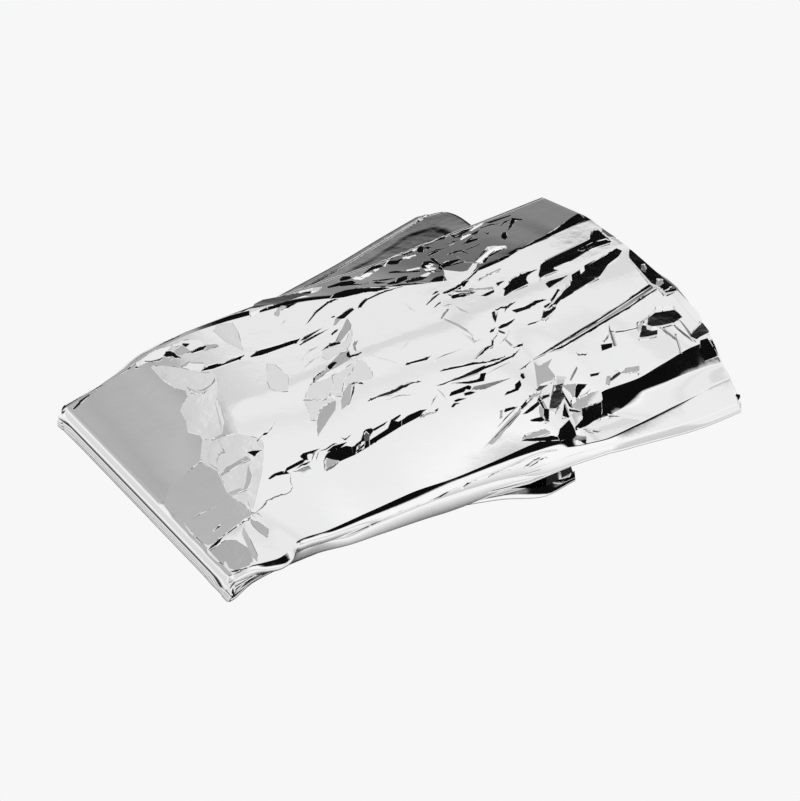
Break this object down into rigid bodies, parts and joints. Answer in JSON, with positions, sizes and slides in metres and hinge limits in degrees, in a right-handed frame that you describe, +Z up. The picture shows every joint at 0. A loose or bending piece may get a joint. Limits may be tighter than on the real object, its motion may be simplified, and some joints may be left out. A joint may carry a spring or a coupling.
{
  "type": "folded emergency foil blanket",
  "caption": "Silver foil rescue blanket pressed into a strip and folded over, its upper flap bowed and creased, lying on a flat surface.",
  "frame": {"origin": "centre of the bounding box's underside, on the surface that the blanket lies on", "axes": "+X along the folded strip from the doubled-over left end to the bowed right end, +Y across it from the rolled front edge to the back, +Z up"},
  "size_m": [0.259, 0.1998, 0.0332],
  "materials": {
    "foil": "bright silver metallised film with sharp creases"
  },
  "bodies": {
    "root": {"foil_blanket": "foil"}
  },
  "joints": []
}
